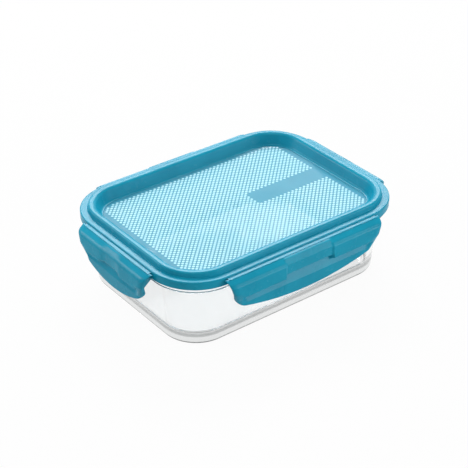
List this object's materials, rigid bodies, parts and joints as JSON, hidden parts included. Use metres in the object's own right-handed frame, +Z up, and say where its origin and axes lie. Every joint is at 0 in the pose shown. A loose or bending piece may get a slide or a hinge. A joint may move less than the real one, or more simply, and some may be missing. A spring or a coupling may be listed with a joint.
{
  "type": "glass storage container",
  "caption": "Low rectangular glass food dish with rounded corners, closed by a teal plastic lid with side latches on living hinges, a recessed dotted window and a hidden seal",
  "frame": {"origin": "centre of the bounding box at its bottom, in the middle of the dish's base", "axes": "+X along the long side to the right latch, +Y from the front latch to the rear latch, +Z up"},
  "size_m": [0.2178, 0.1668, 0.061],
  "materials": {
    "clear_glass": "clear and polished",
    "teal_plastic": "satin moulded",
    "window_plastic": "translucent, printed with pale dots",
    "seal_rubber": "soft matte"
  },
  "bodies": {
    "dish_body": {"glass_dish": "clear_glass"},
    "lid_body": {"lid_frame": "teal_plastic", "lid_window": "window_plastic", "lid_seal": "seal_rubber", "front_hinge_web": "teal_plastic", "rear_hinge_web": "teal_plastic", "left_hinge_web": "teal_plastic", "right_hinge_web": "teal_plastic"},
    "front_latch_body": {"front_latch": "teal_plastic", "front_snap_rib": "teal_plastic"},
    "rear_latch_body": {"rear_latch": "teal_plastic", "rear_snap_rib": "teal_plastic"},
    "left_latch_body": {"left_latch": "teal_plastic", "left_snap_rib": "teal_plastic"},
    "right_latch_body": {"right_latch": "teal_plastic", "right_snap_rib": "teal_plastic"}
  },
  "joints": [
    {"name": "lid_lift", "type": "slide", "parent": "dish_body", "child": "lid_body", "axis": [0, 0, 1], "range_m": [0, 0.08], "deforming": ["front_snap_rib", "rear_snap_rib", "left_snap_rib", "right_snap_rib"]},
    {"name": "front_latch_hinge", "type": "hinge", "parent": "lid_body", "child": "front_latch_body", "pos_m": [0, -0.0761, 0.055], "axis": [-1, 0, 0], "range_deg": [0, 110], "deforming": ["front_hinge_web"]},
    {"name": "rear_latch_hinge", "type": "hinge", "parent": "lid_body", "child": "rear_latch_body", "pos_m": [0, 0.0761, 0.055], "axis": [1, 0, 0], "range_deg": [0, 110], "deforming": ["rear_hinge_web"]},
    {"name": "left_latch_hinge", "type": "hinge", "parent": "lid_body", "child": "left_latch_body", "pos_m": [-0.1016, 0, 0.055], "axis": [0, 1, 0], "range_deg": [0, 110], "deforming": ["left_hinge_web"]},
    {"name": "right_latch_hinge", "type": "hinge", "parent": "lid_body", "child": "right_latch_body", "pos_m": [0.1016, 0, 0.055], "axis": [0, -1, 0], "range_deg": [0, 110], "deforming": ["right_hinge_web"]}
  ]
}
